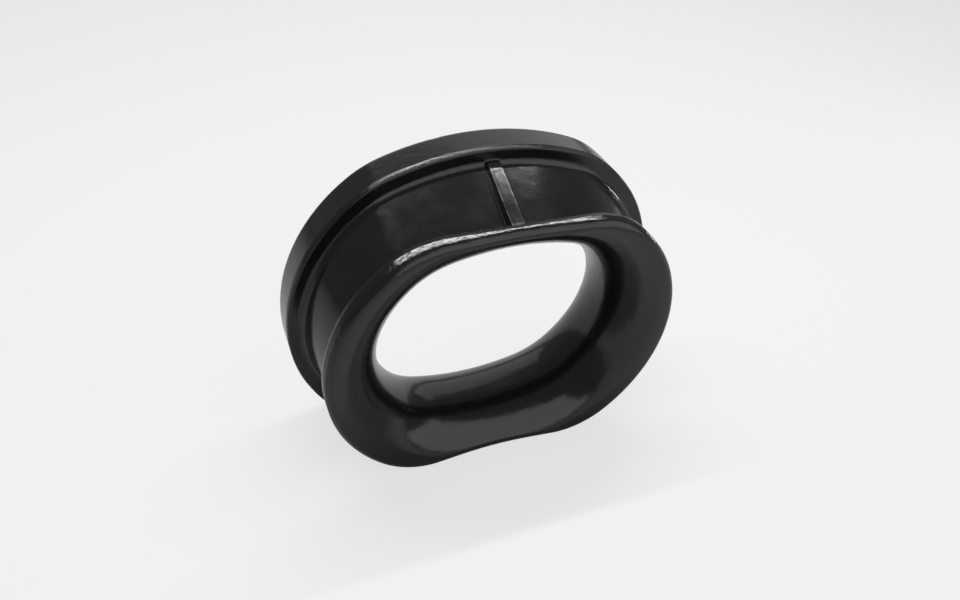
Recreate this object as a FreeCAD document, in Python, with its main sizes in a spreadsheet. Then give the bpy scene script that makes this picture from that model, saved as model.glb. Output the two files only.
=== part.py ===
# Closed mooring chock: one cast ring with an oval throat between two flanges.
# Millimetres. +Z is up, -Y is the front (the smaller flange) and +X is to the right of a viewer in front.
# The origin is on the foot plane, under the middle of the casting.
import FreeCAD, Part
import math
import os
import Sketcher

V = FreeCAD.Vector

# driving dimensions: name, value, what it is
SIZES = [
    ("depth", 168, "over both flanges, front to back"),
    ("throat_height", 264, "clear opening at its narrowest"),
    ("throat_extra_width", 46, "how much wider than high the opening is"),
    ("throat_corner_radius", 88, "between the opening's round ends and its crowns"),
    ("throat_end_bow", 16, "how far the opening's round end stands out past its corner arcs"),
    ("throat_crown_radius", 300, "shallow arcs at the top and bottom of the opening"),
    ("throat_land", 4, "straight stretch between the two bell mouths"),
    ("foot_lip", 48, "from the foot plane up to the opening"),
    ("front_lip_radius", 59, "bell mouth at the front, where it meets the front face"),
    ("front_lip_ease", 19, "how much deeper that bell mouth runs than a plain quarter round"),
    ("front_side_lip", 77, "from the opening out to the front flange's edge"),
    ("front_top_lip", 50, "from the opening up to the front flange's flat top"),
    ("front_corner_radius", 120, "between the front flange's flats and its round ends"),
    ("front_end_bow", 27, "how far its round end stands out past the corner arcs"),
    ("front_rim", 25, "thickness of the front flange at its edge"),
    ("front_edge_radius", 8, "rounding of the front flange's front edge"),
    ("rear_side_lip", 98, "from the opening out to the rear flange's edge"),
    ("rear_top_lip", 95, "from the opening up to the rear flange's crown"),
    ("rear_crown_radius", 360, "arched top of the rear flange"),
    ("rear_corner_radius", 135, "between the rear flange's crown and its round ends"),
    ("rear_end_bow", 40, "how far its round end stands out past those corner arcs"),
    ("rear_foot_corner_radius", 120, "between its round ends and its foot"),
    ("rear_foot_bow", 18, "how far its round end stands out past the foot's corner arcs"),
    ("rear_rim", 53, "thickness of the rear flange at its edge"),
    ("rear_edge_radius", 8, "rounding of the rear flange's rear edge"),
    ("rear_groove", 20, "from the rear flange's edge down to the groove floor"),
    ("barrel_taper", 18, "how far the barrel closes in all round towards the front"),
    ("barrel_drop", 24, "how much lower the barrel's front end lies than its rear end"),
    ("barrel_foot_corner_radius", 140, "the barrel's lower corners, out at the rear flange's edge"),
    ("groove_fillet", 9, "coves where the groove floor meets the flanges"),
    ("rim_fillet", 2.5, "rounding of both rims' edges on the groove side"),
    ("rib_width", 19, "rib across the top of the groove"),
    ("rib_proud", 5, "from the groove floor up to the rib at the rear flange"),
    ("rib_end_length", 15, "flatter stretch of the rib at the rear flange"),
    ("rib_end_rise", 2, "how far the rib rises over that stretch"),
    ("rib_edge_radius", 3, "rounding along the rib's top"),
]

doc = FreeCAD.newDocument("MooringChock")
sheet = doc.addObject("Spreadsheet::Sheet", "Sizes")
for row, (alias, amount, note) in enumerate(SIZES, start=1):
    sheet.set("A%d" % row, alias.replace("_", " "))
    sheet.set("B%d" % row, str(amount))
    sheet.setAlias("B%d" % row, alias)
    sheet.set("C%d" % row, note)
doc.recompute()

# places and sizes that follow from the cells
THROAT_RISE = "Sizes.throat_height / 2"
THROAT_HALF_WIDTH = "(Sizes.throat_height + Sizes.throat_extra_width) / 2"
CENTRE_HEIGHT = "(Sizes.foot_lip + Sizes.throat_height / 2)"
FRONT_FACE = "(-Sizes.depth / 2)"
FRONT_RIM_BACK = "(-Sizes.depth / 2 + Sizes.front_rim)"
REAR_RIM_FRONT = "(Sizes.depth / 2 - Sizes.rear_rim)"
REAR_FACE = "(Sizes.depth / 2)"
# the front bell mouth is two arcs, a wider one from the land and a tighter one, which meet at this turn in degrees
FRONT_LIP_TURN = 50
FRONT_LIP_DEPTH = "(Sizes.front_lip_radius + Sizes.front_lip_ease)"
FRONT_THROAT_RADIUS = "(Sizes.front_lip_radius + Sizes.front_lip_ease / sin(%d deg))" % FRONT_LIP_TURN
REAR_LIP_RADIUS = "(Sizes.depth - Sizes.throat_land - Sizes.front_lip_radius - Sizes.front_lip_ease)"
FRONT_TOP = "(%s + Sizes.throat_height / 2 + Sizes.front_top_lip)" % CENTRE_HEIGHT
REAR_TOP = "(%s + Sizes.throat_height / 2 + Sizes.rear_top_lip)" % CENTRE_HEIGHT
FRONT_REACH = "(max(Sizes.front_side_lip; Sizes.front_top_lip; Sizes.foot_lip) + 20)"
REAR_REACH = "(max(Sizes.rear_side_lip; Sizes.rear_top_lip; Sizes.foot_lip) + 20)"
# how far a cutter or a rib's root runs on past the surface that it has to reach
OVERLAP = 6
# allowance on both end faces, which the mouths' cutter takes off with the same pass
ALLOWANCE = 1

body = doc.addObject("PartDesign::Body", "Casting")
body.Label = "chock_casting"


def value(expression):
    return float(sheet.evalExpression(expression))


def attached_sketch(name, role, owner=body):
    sketch = owner.newObject("Sketcher::SketchObject", name)
    plane = next(item for item in owner.Origin.OriginFeatures if item.Role == role)
    sketch.AttachmentSupport = [(plane, "")]
    sketch.MapMode = "FlatFace"
    return sketch


def rule(sketch, kind, *picks):
    sketch.addConstraint(Sketcher.Constraint(kind, *picks))


def size(sketch, kind, *picks, to):
    """Size constraint that follows an expression of the sheet's cells."""
    index = sketch.addConstraint(Sketcher.Constraint(kind, *picks, value(to)))
    sketch.setExpression("Constraints[%d]" % index, to)


def arc(centre, start, end):
    """Arc that runs counterclockwise from one point to the other."""
    first = math.atan2(start.y - centre.y, start.x - centre.x)
    last = math.atan2(end.y - centre.y, end.x - centre.x)
    circle = Part.Circle(centre, V(0, 0, 1), (start - centre).Length)
    return Part.ArcOfCircle(circle, first, last if last > first else last + 2 * math.pi)


class Quarter:
    """Upper right quarter of an oval: round end, corner arc, then a flat top or a shallow crown."""

    def __init__(self, half_width, rise, corner, bow, crown=None):
        self.half_width, self.rise, self.corner, self.crown = half_width, rise, corner, crown
        self.corner_across = "%s - %s - %s" % (half_width, bow, corner)
        widest, top, radius, bulge = (value(item) for item in (half_width, rise, corner, bow))
        across, up = value(self.corner_across), top - radius
        away = V(0, 1, 0)
        if crown:
            self.crown_centre = V(0, top - value(crown), 0)
            up = self.crown_centre.y + math.sqrt((value(crown) - radius) ** 2 - across ** 2)
            away = (V(across, up, 0) - self.crown_centre).normalize()
        corner_centre = V(across, up, 0)
        end_radius = ((bulge + radius) ** 2 + up ** 2 - radius ** 2) / (2 * bulge)
        end_centre = V(widest - end_radius, 0, 0)
        join = corner_centre + (corner_centre - end_centre).normalize() * radius
        self.top_point = corner_centre + away * radius
        self.arcs = [(end_centre, V(widest, 0, 0), join), (corner_centre, join, self.top_point)]


def draw_quarter(sketch, quarter, side, up):
    """Draw a quarter turned to its side; side and up are 1 or -1. Gives its arcs and their near and far ends."""
    near, far = (1, 2) if side * up > 0 else (2, 1)
    drawn = []
    for points in quarter.arcs:
        centre, start, end = (V(point.x * side, point.y * up, 0) for point in points)
        shape = arc(centre, start, end) if side * up > 0 else arc(centre, end, start)
        drawn.append(sketch.addGeometry(shape, False))
    rule(sketch, "Tangent", drawn[0], far, drawn[1], near)
    rule(sketch, "PointOnObject", drawn[0], 3, -1)
    size(sketch, "Radius", drawn[1], to=quarter.corner)
    picks = (-1, 1, drawn[1], 3) if side > 0 else (drawn[1], 3, -1, 1)
    size(sketch, "DistanceX", *picks, to=quarter.corner_across)
    return drawn, near, far


def oval(sketch, upper, lower):
    """Closed outline from an upper quarter and a lower one, each drawn on both sides."""
    ends = {}
    for side in (1, -1):
        for up, quarter in ((1, upper), (-1, lower)):
            ends[side, up] = draw_quarter(sketch, quarter, side, up)
        (above, near_above, _), (below, near_below, _) = ends[side, 1], ends[side, -1]
        rule(sketch, "Coincident", above[0], near_above, below[0], near_below)
        rule(sketch, "PointOnObject", above[0], near_above, -1)
        picks = (-1, 1, above[0], near_above) if side > 0 else (above[0], near_above, -1, 1)
        size(sketch, "DistanceX", *picks, to=upper.half_width)
    for up, quarter in ((1, upper), (-1, lower)):
        right, left = (V(quarter.top_point.x * side, quarter.top_point.y * up, 0) for side in (1, -1))
        if quarter.crown:
            centre = quarter.crown_centre * up
            shape = arc(centre, right, left) if up > 0 else arc(centre, left, right)
            top = sketch.addGeometry(shape, False)
            at_right, at_left = (1, 2) if up > 0 else (2, 1)
            rule(sketch, "PointOnObject", top, 3, -2)
            size(sketch, "Radius", top, to=quarter.crown)
            picks = (top, 3, -1, 1) if up > 0 else (-1, 1, top, 3)
            size(sketch, "DistanceY", *picks, to="%s - %s" % (quarter.crown, quarter.rise))
        else:
            top = sketch.addGeometry(Part.LineSegment(right, left), False)
            at_right, at_left = 1, 2
            rule(sketch, "Horizontal", top)
            picks = (-1, 1, top, 1) if up > 0 else (top, 1, -1, 1)
            size(sketch, "DistanceY", *picks, to=quarter.rise)
        for side, at_side in ((1, at_right), (-1, at_left)):
            drawn, _, far = ends[side, up]
            rule(sketch, "Tangent", drawn[1], far, top, at_side)


def upright(name, place, drop="0"):
    """Sketch across the throat's axis at Y = place, with its origin on that axis or lower by a drop."""
    sketch = attached_sketch(name, "XZ_Plane")
    sketch.setExpression("AttachmentOffset.Base.y", "%s - %s" % (CENTRE_HEIGHT, drop))
    sketch.setExpression("AttachmentOffset.Base.z", "-" + place)
    return sketch


def front_outline(name, place):
    half_width = "(%s + Sizes.front_side_lip)" % THROAT_HALF_WIDTH
    top = "(%s + Sizes.front_top_lip)" % THROAT_RISE
    upper, lower = (Quarter(half_width, rise, "Sizes.front_corner_radius", "Sizes.front_end_bow")
                    for rise in (top, CENTRE_HEIGHT))
    sketch = upright(name, place)
    oval(sketch, upper, lower)
    return sketch


def rear_outline(name, place, inset="0", foot_corner="Sizes.rear_foot_corner_radius", drop="0"):
    """The rear flange's outline, or one parallel to it that lies further in and lower."""
    half_width = "(%s + Sizes.rear_side_lip - %s)" % (THROAT_HALF_WIDTH, inset)
    top = "(%s + Sizes.rear_top_lip - %s)" % (THROAT_RISE, inset)
    foot = "(%s - %s)" % (CENTRE_HEIGHT, inset)
    corner = "(Sizes.rear_corner_radius - %s)" % inset
    crown = "(Sizes.rear_crown_radius - %s)" % inset
    sketch = upright(name, place, drop)
    oval(sketch, Quarter(half_width, top, corner, "Sizes.rear_end_bow", crown),
         Quarter(half_width, foot, "(%s - %s)" % (foot_corner, inset), "Sizes.rear_foot_bow"))
    return sketch


def throat_outline(name, place):
    quarter = Quarter(THROAT_HALF_WIDTH, THROAT_RISE, "Sizes.throat_corner_radius",
                      "Sizes.throat_end_bow", "Sizes.throat_crown_radius")
    sketch = upright(name, place)
    oval(sketch, quarter, quarter)
    return sketch


def pad(name, profile, length):
    """Solid from an upright outline towards the rear."""
    feature = body.newObject("PartDesign::Pad", name)
    feature.Profile = profile
    feature.Reversed = True
    feature.setExpression("Length", length)
    doc.recompute()


def groove_side(place):
    """Flat side of a flange that faces the groove, all round the barrel."""
    return next(face for face in body.Shape.Faces
                if isinstance(face.Surface, Part.Plane) and len(face.Wires) == 2
                and abs(face.CenterOfMass.y - value(place)) < 0.01)


def turn(edge):
    """Angle in degrees through which the surface turns over an edge."""
    middle = edge.valueAt((edge.FirstParameter + edge.LastParameter) / 2)
    faces = body.Shape.ancestorsOfType(edge, Part.Face)
    normals = [face.normalAt(*face.Surface.parameter(middle)) for face in faces]
    return math.degrees(normals[0].getAngle(normals[-1]))


def sharp_edges(start, end):
    """Edges with their middle between two places along Y where the surface turns by over 20 degrees."""
    return [edge for edge in body.Shape.Edges
            if value(start) < edge.CenterOfMass.y < value(end) and turn(edge) > 20]


def round_off(name, edges, radius):
    base = body.Tip
    names = ["Edge%d" % number for number, edge in enumerate(body.Shape.Edges, start=1)
             if any(edge.isSame(other) for other in edges)]
    feature = body.newObject("PartDesign::Fillet", name)
    feature.Base = (base, names)
    feature.setExpression("Radius", radius)
    doc.recompute()


# two flanges, flat where they stand on the foot plane
pad("FrontFlange", front_outline("FrontOutline", "(%s - %d)" % (FRONT_FACE, ALLOWANCE)),
    "Sizes.front_rim + %d" % ALLOWANCE)
pad("RearFlange", rear_outline("RearOutline", REAR_RIM_FRONT), "Sizes.rear_rim + %d" % ALLOWANCE)

# the barrel between them, which closes in towards the front and leaves the groove outside
barrel = body.newObject("PartDesign::AdditiveLoft", "Barrel")
barrel.Profile = rear_outline("BarrelFront", FRONT_RIM_BACK, "(Sizes.rear_groove + Sizes.barrel_taper)",
                              "Sizes.barrel_foot_corner_radius", "Sizes.barrel_drop")
barrel.Sections = [rear_outline("BarrelRear", REAR_RIM_FRONT, "Sizes.rear_groove",
                                "Sizes.barrel_foot_corner_radius")]
doc.recompute()

# both rims' edges on the groove side
groove_sides = (groove_side(FRONT_RIM_BACK), groove_side(REAR_RIM_FRONT))
round_off("RimEdges", [edge for side in groove_sides for edge in side.OuterWire.Edges], "Sizes.rim_fillet")

# coves where the groove floor meets the two flanges
groove_sides = (groove_side(FRONT_RIM_BACK), groove_side(REAR_RIM_FRONT))
floor_edges = [edge for side in groove_sides for edge in side.Edges
               if not any(edge.isSame(rim) for rim in side.OuterWire.Edges)]
round_off("GrooveCoves", floor_edges, "Sizes.groove_fillet")

# the throat, straight through at its narrowest size
throat_edge = throat_outline("ThroatOutline", "(%s - %d)" % (FRONT_FACE, OVERLAP))
throat = body.newObject("PartDesign::Pocket", "Throat")
throat.Profile = throat_edge
throat.Type = "ThroughAll"
doc.recompute()

# one section through both end faces, both bell mouths and the land between them, swept once round the throat
section = attached_sketch("MouthSection", "XY_Plane")
section.setExpression("AttachmentOffset.Base.z", CENTRE_HEIGHT)
wall, front, rear = value(THROAT_HALF_WIDTH), value(FRONT_FACE), value(REAR_FACE)
front_lip, throat_lip, rear_lip = (value(item) for item in ("Sizes.front_lip_radius", FRONT_THROAT_RADIUS,
                                                            REAR_LIP_RADIUS))
front_out, rear_out = wall + value(FRONT_REACH), wall + value(REAR_REACH)
front_wall, rear_wall = V(wall, front + value(FRONT_LIP_DEPTH), 0), V(wall, rear - rear_lip, 0)
inward = V(math.cos(math.radians(FRONT_LIP_TURN)), math.sin(math.radians(FRONT_LIP_TURN)), 0)
throat_centre = V(wall + throat_lip, front_wall.y, 0)
blend = throat_centre - inward * throat_lip
crest_centre = blend + inward * front_lip
front_crest, rear_crest = V(crest_centre.x, front, 0), V(wall + rear_lip, rear, 0)
outside = [front_crest, V(front_out, front, 0), V(front_out, front - OVERLAP, 0),
           V(wall - OVERLAP, front - OVERLAP, 0), V(wall - OVERLAP, rear + OVERLAP, 0),
           V(rear_out, rear + OVERLAP, 0), V(rear_out, rear, 0), rear_crest]
land = section.addGeometry(Part.LineSegment(rear_wall, front_wall), False)
throat_curve = section.addGeometry(arc(throat_centre, front_wall, blend), False)
front_curve = section.addGeometry(arc(crest_centre, blend, front_crest), False)
rear_curve = section.addGeometry(arc(V(rear_crest.x, rear_wall.y, 0), rear_crest, rear_wall), False)
lines = [section.addGeometry(Part.LineSegment(p, q), False) for p, q in zip(outside, outside[1:])]
rule(section, "Vertical", land)
rule(section, "Tangent", land, 2, throat_curve, 1)
rule(section, "Tangent", throat_curve, 2, front_curve, 1)
rule(section, "Tangent", rear_curve, 2, land, 1)
rule(section, "Tangent", front_curve, 2, lines[0], 1)
for one, following in zip(lines, lines[1:]):
    rule(section, "Coincident", one, 2, following, 1)
rule(section, "Tangent", lines[-1], 2, rear_curve, 1)
for line, kind in zip(lines, ("Horizontal", "Vertical") * 3 + ("Horizontal",)):
    rule(section, kind, line)
size(section, "Radius", throat_curve, to=FRONT_THROAT_RADIUS)
size(section, "Radius", front_curve, to="Sizes.front_lip_radius")
size(section, "DistanceY", front_curve, 2, throat_curve, 1, to=FRONT_LIP_DEPTH)
size(section, "Radius", rear_curve, to=REAR_LIP_RADIUS)
size(section, "DistanceX", -1, 1, land, 1, to=THROAT_HALF_WIDTH)
size(section, "DistanceX", -1, 1, lines[1], 1, to="%s + %s" % (THROAT_HALF_WIDTH, FRONT_REACH))
size(section, "DistanceX", -1, 1, lines[5], 1, to="%s + %s" % (THROAT_HALF_WIDTH, REAR_REACH))
size(section, "DistanceX", lines[3], 1, land, 1, to=str(OVERLAP))
size(section, "DistanceY", front_curve, 2, -1, 1, to=REAR_FACE)
size(section, "DistanceY", -1, 1, rear_curve, 1, to=REAR_FACE)
size(section, "DistanceY", lines[1], 2, lines[1], 1, to=str(OVERLAP))
size(section, "DistanceY", lines[5], 2, lines[5], 1, to=str(OVERLAP))
mouths = body.newObject("PartDesign::SubtractivePipe", "BellMouths")
mouths.Profile = section
mouths.Spine = (throat_edge, [])
doc.recompute()

round_off("FrontEdge", sharp_edges(FRONT_FACE + "- 1", FRONT_RIM_BACK + "- 1"), "Sizes.front_edge_radius")
round_off("RearEdge", sharp_edges(REAR_RIM_FRONT + "+ 1", REAR_FACE + "+ 1"), "Sizes.rear_edge_radius")

# rib across the top of the groove, which lies flatter over its last stretch to the rear flange
rib_body = doc.addObject("PartDesign::Body", "RibBody")
rib_section = attached_sketch("RibSection", "YZ_Plane", rib_body)
floor_rear = "(%s - Sizes.rear_groove)" % REAR_TOP
floor_front = "(%s - Sizes.barrel_taper - Sizes.barrel_drop)" % floor_rear
rib_front = "(%s - Sizes.rim_fillet)" % FRONT_TOP
rib_rear = "(%s + Sizes.rib_proud)" % floor_rear
rib_kink = "(%s - Sizes.rib_end_length)" % REAR_RIM_FRONT
near, kink, far = value(FRONT_RIM_BACK), value(rib_kink), value(REAR_RIM_FRONT)
low, high = value(rib_front), value(rib_rear)
middle = high - value("Sizes.rib_end_rise")
slope, end_slope = (middle - low) / (kink - near), (high - middle) / (far - kink)
points = [V(near - OVERLAP, low - OVERLAP * slope, 0), V(kink, middle, 0),
          V(far + OVERLAP, high + OVERLAP * end_slope, 0),
          V(far + OVERLAP, value(floor_rear) - OVERLAP, 0), V(near - OVERLAP, value(floor_front) - OVERLAP, 0)]
lines = [rib_section.addGeometry(Part.LineSegment(p, q), False) for p, q in zip(points, points[1:] + points[:1])]
for one, following in zip(lines, lines[1:] + lines[:1]):
    rule(rib_section, "Coincident", one, 2, following, 1)
for line in (lines[2], lines[4]):
    rule(rib_section, "Vertical", line)
for line, across, height, spot in ((lines[0], FRONT_RIM_BACK, rib_front, V(near, low, 0)),
                                   (lines[1], REAR_RIM_FRONT, rib_rear, V(far, high, 0))):
    mark = rib_section.addGeometry(Part.Point(spot), True)
    rule(rib_section, "PointOnObject", mark, 1, line)
    size(rib_section, "DistanceX", -1, 1, mark, 1, to=across)
    size(rib_section, "DistanceY", -1, 1, mark, 1, to=height)
size(rib_section, "DistanceX", -1, 1, lines[0], 2, to=rib_kink)
size(rib_section, "DistanceY", -1, 1, lines[0], 2, to="%s - Sizes.rib_end_rise" % rib_rear)
size(rib_section, "DistanceX", lines[0], 1, -1, 1, to="%d - %s" % (OVERLAP, FRONT_RIM_BACK))
size(rib_section, "DistanceX", -1, 1, lines[1], 2, to="%s + %d" % (REAR_RIM_FRONT, OVERLAP))
size(rib_section, "DistanceY", -1, 1, lines[2], 2, to="%s - %d" % (floor_rear, OVERLAP))
size(rib_section, "DistanceY", -1, 1, lines[3], 2, to="%s - %d" % (floor_front, OVERLAP))
rib = rib_body.newObject("PartDesign::Pad", "Rib")
rib.Profile = rib_section
rib.Midplane = True
rib.setExpression("Length", "Sizes.rib_width")
doc.recompute()
along_top = []
for number, edge in enumerate(rib.Shape.Edges, start=1):
    spot = edge.valueAt((edge.FirstParameter + edge.LastParameter) / 2)
    top_line = min(low + (spot.y - near) * slope, high + (spot.y - far) * end_slope)
    if near - OVERLAP < spot.y < far + OVERLAP and abs(spot.x) > 0.01 and spot.z > top_line - 0.01:
        along_top.append("Edge%d" % number)
rib_edges = rib_body.newObject("PartDesign::Fillet", "RibEdges")
rib_edges.Base = (rib, along_top)
rib_edges.setExpression("Radius", "Sizes.rib_edge_radius")
doc.recompute()
join = body.newObject("PartDesign::Boolean", "RibJoin")
join.Type = "Fuse"
join.addObjects([rib_body])
doc.recompute()

failed = [item.Name for item in doc.Objects if "Invalid" in item.State or "Error" in item.State]
if failed:
    raise SystemExit("failed: " + ", ".join(failed))
if body.Shape.isNull() or not body.Shape.isValid() or len(body.Shape.Solids) != 1:
    raise SystemExit("the casting isn't one valid solid")
os.makedirs("parts", exist_ok=True)
body.Shape.exportStep("parts/%s.step" % body.Label)
print(body.Label, round(body.Shape.Volume / 1000), "cubic centimetres")
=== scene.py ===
import bpy
import bmesh
import math
from mathutils import Matrix, Vector

# metres, as the frame: +Z up, -Y the front flange, the foot plane at Z = 0
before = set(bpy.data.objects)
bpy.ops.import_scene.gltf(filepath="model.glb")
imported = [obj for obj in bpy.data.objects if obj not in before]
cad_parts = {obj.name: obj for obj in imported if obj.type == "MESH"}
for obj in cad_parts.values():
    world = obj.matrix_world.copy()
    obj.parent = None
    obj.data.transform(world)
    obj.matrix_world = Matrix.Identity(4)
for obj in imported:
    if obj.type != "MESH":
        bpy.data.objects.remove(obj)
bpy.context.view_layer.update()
print("frame loaded:", sorted(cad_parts))


def hexColour(code):
    # sRGB hex to the linear values that a shader takes
    parts = [int(code[i:i + 2], 16) / 255 for i in (1, 3, 5)]
    return tuple(c / 12.92 if c <= 0.04045 else ((c + 0.055) / 1.055) ** 2.4 for c in parts) + (1.0,)


def perMetre(millimetres):
    # a pattern's scale from the real size of one of its marks
    return 1000 / millimetres


def fromTo(ends, results=(0.0, 1.0)):
    # values for a Map Range node
    return {"From Min": ends[0], "From Max": ends[1], "To Min": results[0], "To Max": results[1]}


def newMaterial(name):
    material = bpy.data.materials.new(name)
    material.use_nodes = True
    material.node_tree.nodes.clear()
    return material


def addNode(owner, kind, links=None, inputs=None, **settings):
    # a node with its links from other nodes' outputs, its inputs' values and its settings
    tree = owner.node_tree
    node = tree.nodes.new(kind)
    for name, value in settings.items():
        setattr(node, name, value)
    for name, value in (inputs or {}).items():
        node.inputs[name].default_value = value
    for name, (source, output) in (links or {}).items():
        tree.links.new(source.outputs[output], node.inputs[name])
    return node


# Semi-gloss alkyd enamel brushed over a sand-cast steel body. The eye gets a near-black coat with soft
# highlights that waver over the slow swell of the mould face, and one bright broken highlight along the
# front flange's edge, which falls away towards the front and is knocked by mooring lines.
blackEnamel = {
    "colour": "#100f0f",
    "dustyColour": "#171616",
    "ior": 1.5,
    "gloss": (0.13, 0.19),  # roughness where the coat lies thick and where it lies thin
    "thick": (0.35, 0.65),  # the patch noise's values at those two
    "rubbedShare": 0.9,     # how much of that roughness is left where lines rub the front edge
    # noises: a mark's size in millimetres, detail, roughness
    "noises": {
        "grain": (2.6, 3.0, 0.55),  # sand grain under the paint, drawn coarser than it is so that it shows
        "swell": (17, 2.0, 0.5),    # slow waves of the mould face
        "patch": (45, 4.0, 0.6),    # thicker and thinner paint
        "knock": (6, 2.0, 0.5),     # small knocks along the front flange's edge
    },
    "grainLift": 0.00006,
    "swellLift": 0.0002,
    "knockLift": 0.0006,
    "edgeRound": 0.004,     # how far the coat rounds off an edge
    "frontFall": 0.0048,    # how far the front flange's edge falls away towards the front
    "rearFall": 0.00122,    # and the edge of the rear flange on the groove side
}

# where the flanges' rims and edges lie
flangeEdges = {
    "middleHeight": 0.18,           # of the front flange
    "reach": (0.232, 0.182),        # from its middle out to its edge, across and up
    "rimStart": (0.90, 0.97),       # the share of that reach where a rim begins
    "turnedAway": (-0.8, -0.5),     # the normal's Y on the front face and on a rim
    "frontEdge": (-0.066, -0.084),  # along Y, from where it begins to fall away
    "rearEdge": (0.0385, 0.0345),   # the same for the rear flange
    "knocked": (-0.058, -0.068),    # along Y, from no knocks to the most
}


def makeBlackEnamel(look, edges):
    material = newMaterial("black enamel on cast steel")
    place = addNode(material, "ShaderNodeTexCoord")
    noises = {}
    for name, (markMm, detail, roughness) in look["noises"].items():
        noises[name] = addNode(material, "ShaderNodeTexNoise", {"Vector": (place, "Object")},
                               {"Scale": perMetre(markMm), "Detail": detail, "Roughness": roughness})
    spread = addNode(material, "ShaderNodeMapRange", {"Value": (noises["patch"], "Fac")},
                     fromTo(look["thick"], look["gloss"]))
    tint = addNode(material, "ShaderNodeMixRGB", {"Fac": (noises["patch"], "Fac")},
                   {"Color1": hexColour(look["colour"]), "Color2": hexColour(look["dustyColour"])})

    # the flanges' rims: far out from the middle, and not turned to the front
    across, up = edges["reach"]
    centred = addNode(material, "ShaderNodeMapping", {"Vector": (place, "Object")},
                      {"Location": (0.0, 0.0, -edges["middleHeight"] / up),
                       "Scale": (1 / across, 0.0, 1 / up)})
    outward = addNode(material, "ShaderNodeVectorMath", {0: (centred, "Vector")}, operation="LENGTH")
    outer = addNode(material, "ShaderNodeMapRange", {"Value": (outward, "Value")}, fromTo(edges["rimStart"]))
    facing = addNode(material, "ShaderNodeSeparateXYZ", {"Vector": (place, "Normal")})
    sideways = addNode(material, "ShaderNodeMapRange", {"Value": (facing, "Y")}, fromTo(edges["turnedAway"]))
    rims = addNode(material, "ShaderNodeMath", {0: (outer, "Result"), 1: (sideways, "Result")},
                   operation="MULTIPLY")

    # both rims' edges fall away towards the front
    axes = addNode(material, "ShaderNodeSeparateXYZ", {"Vector": (place, "Object")})
    frontFall = addNode(material, "ShaderNodeMapRange", {"Value": (axes, "Y")},
                        fromTo(edges["frontEdge"], (0.0, -look["frontFall"])))
    rearFall = addNode(material, "ShaderNodeMapRange", {"Value": (axes, "Y")},
                       fromTo(edges["rearEdge"], (0.0, -look["rearFall"])))
    fall = addNode(material, "ShaderNodeMath", {0: (frontFall, "Result"), 1: (rearFall, "Result")},
                   operation="ADD")

    # lines rub and knock the front flange's rim
    front = addNode(material, "ShaderNodeMapRange", {"Value": (axes, "Y")}, fromTo(edges["knocked"]))
    handled = addNode(material, "ShaderNodeMath", {0: (rims, "Value"), 1: (front, "Result")},
                      operation="MULTIPLY")
    rubbed = addNode(material, "ShaderNodeMapRange", {"Value": (handled, "Value")},
                     fromTo((0.0, 1.0), (1.0, look["rubbedShare"])))
    polish = addNode(material, "ShaderNodeMath", {0: (spread, "Result"), 1: (rubbed, "Result")},
                     operation="MULTIPLY")

    # relief, from the edges to the grain
    rounded = addNode(material, "ShaderNodeBevel", inputs={"Radius": look["edgeRound"]}, samples=8)
    draft = addNode(material, "ShaderNodeBump",
                    {"Height": (fall, "Value"), "Normal": (rounded, "Normal"), "Strength": (rims, "Value")},
                    {"Distance": 1.0})
    waves = addNode(material, "ShaderNodeBump",
                    {"Height": (noises["swell"], "Fac"), "Normal": (draft, "Normal")},
                    {"Strength": 1.0, "Distance": look["swellLift"]})
    knocks = addNode(material, "ShaderNodeBump",
                     {"Height": (noises["knock"], "Fac"), "Normal": (waves, "Normal"),
                      "Strength": (handled, "Value")},
                     {"Distance": look["knockLift"]})
    bumps = addNode(material, "ShaderNodeBump",
                    {"Height": (noises["grain"], "Fac"), "Normal": (knocks, "Normal")},
                    {"Strength": 1.0, "Distance": look["grainLift"]})

    coat = addNode(material, "ShaderNodeBsdfPrincipled",
                   {"Base Color": (tint, "Color"), "Roughness": (polish, "Value"),
                    "Normal": (bumps, "Normal")},
                   {"IOR": look["ior"]})
    addNode(material, "ShaderNodeOutputMaterial", {"Surface": (coat, "BSDF")})
    return material


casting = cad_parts["chock_casting"]
casting.data.materials.clear()
casting.data.materials.append(makeBlackEnamel(blackEnamel, flangeEdges))
print("casting painted")

# camera at the photograph's angle, rolled a little as it was held
viewpoint = {"place": (-0.347, -0.711, 0.846), "turn": -26.3, "tilt": 50.6, "roll": 6.5,
             "lens": 29.49, "sensor": 36.0, "shift": (-0.01135, 0.00552), "clip": (0.05, 60.0)}


def makeCamera(look):
    data = bpy.data.cameras.new("photo camera")
    data.lens, data.sensor_width = look["lens"], look["sensor"]
    data.shift_x, data.shift_y = look["shift"]
    data.clip_start, data.clip_end = look["clip"]
    camera = bpy.data.objects.new("photo camera", data)
    bpy.context.scene.collection.objects.link(camera)
    turned = (Matrix.Rotation(math.radians(look["turn"]), 4, "Z")
              @ Matrix.Rotation(math.radians(look["tilt"]), 4, "X")
              @ Matrix.Rotation(math.radians(look["roll"]), 4, "Z"))
    camera.matrix_world = Matrix.Translation(look["place"]) @ turned
    return camera


bpy.context.scene.camera = makeCamera(viewpoint)
print("camera placed")

# matt pale grey floor, which the camera sees whiter and which keeps the casting's shadow
studioFloor = {"radius": 9.0, "segments": 64, "colour": "#c8c8c8", "whiteShare": 0.68}


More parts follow.
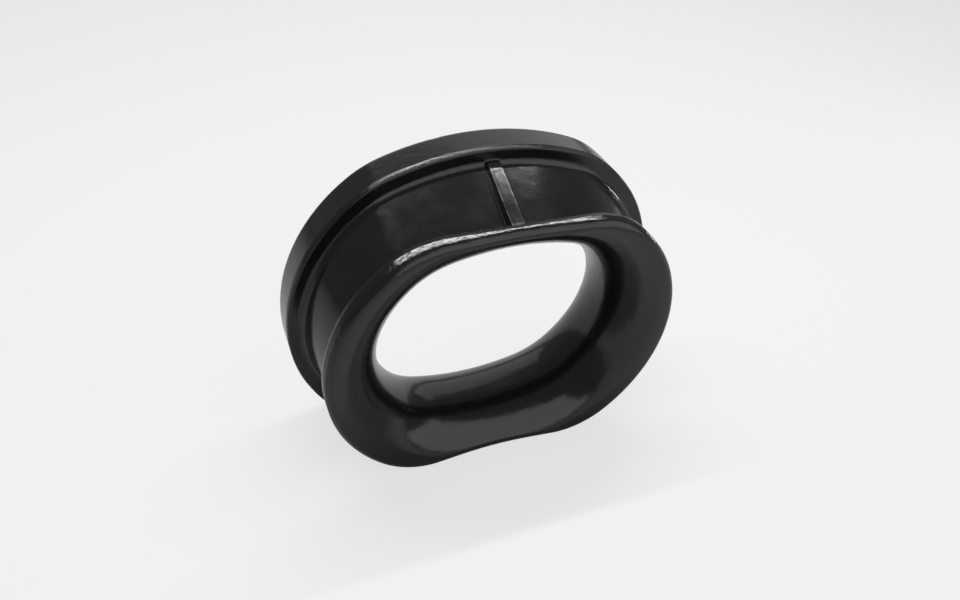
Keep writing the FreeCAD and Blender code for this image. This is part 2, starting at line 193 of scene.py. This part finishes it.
def makeFloor(look):
    material = newMaterial("matt pale grey floor paint")
    ray = addNode(material, "ShaderNodeLightPath")
    matt = addNode(material, "ShaderNodeBsdfDiffuse", inputs={"Color": hexColour(look["colour"])})
    white = addNode(material, "ShaderNodeEmission", inputs={"Color": (1, 1, 1, 1), "Strength": 1.0})
    share = addNode(material, "ShaderNodeMath", {0: (ray, "Is Camera Ray")}, {1: look["whiteShare"]},
                    operation="MULTIPLY")
    mixed = addNode(material, "ShaderNodeMixShader",
                    {0: (share, "Value"), 1: (matt, "BSDF"), 2: (white, "Emission")})
    addNode(material, "ShaderNodeOutputMaterial", {"Surface": (mixed, "Shader")})
    mesh = bpy.data.meshes.new("studio floor")
    bm = bmesh.new()
    bmesh.ops.create_circle(bm, cap_ends=True, segments=look["segments"], radius=look["radius"])
    bm.to_mesh(mesh)
    bm.free()
    mesh.materials.append(material)
    floor = bpy.data.objects.new("studio floor", mesh)
    bpy.context.scene.collection.objects.link(floor)


makeFloor(studioFloor)
print("floor laid")

# lamps: name, place, the point each one faces, size across and down, radiance
studioLamps = [
    ("ceiling strip lamp", (-0.02, 0.55, 2.00), (-0.02, 0.0, 0.3), (2.75, 0.05), 92.0),
    ("front softbox", (0.87, -1.86, 1.24), (0.0, 0.0, 0.2), (4.4, 2.4), 1.15),
    ("wall behind", (0.60, 1.84, 0.95), (0.0, 0.0, 0.2), (2.6, 1.3), 0.5),
    ("window at the right", (1.95, 0.10, 0.25), (0.0, 0.0, 0.2), (0.30, 0.30), 9.0),
]


def makeLamp(name, place, aim, span, radiance):
    data = bpy.data.lights.new(name, "AREA")
    data.shape = "RECTANGLE"
    data.size, data.size_y = span
    data.energy = radiance * math.pi * span[0] * span[1]
    lamp = bpy.data.objects.new(name, data)
    lamp.location = place
    lamp.rotation_euler = (Vector(aim) - Vector(place)).to_track_quat("-Z", "Y").to_euler()
    lamp.visible_camera = False
    bpy.context.scene.collection.objects.link(lamp)


for row in studioLamps:
    makeLamp(*row)
print("lamps hung:", len(studioLamps))

# the room: white to the camera, grey to the paint
studioRoom = {"grey": "#7c7c7c", "level": 1.0}


def makeRoom(look):
    world = bpy.data.worlds.new("studio room")
    world.use_nodes = True
    world.node_tree.nodes.clear()
    ray = addNode(world, "ShaderNodeLightPath")
    grey = addNode(world, "ShaderNodeBackground",
                   inputs={"Color": hexColour(look["grey"]), "Strength": look["level"]})
    white = addNode(world, "ShaderNodeBackground", inputs={"Color": (1, 1, 1, 1), "Strength": 1.0})
    mixed = addNode(world, "ShaderNodeMixShader",
                    {0: (ray, "Is Camera Ray"), 1: (grey, "Background"), 2: (white, "Background")})
    addNode(world, "ShaderNodeOutputWorld", {"Surface": (mixed, "Shader")})
    bpy.context.scene.world = world


makeRoom(studioRoom)
bpy.context.scene.view_settings.view_transform = "Standard"
print("studio set")
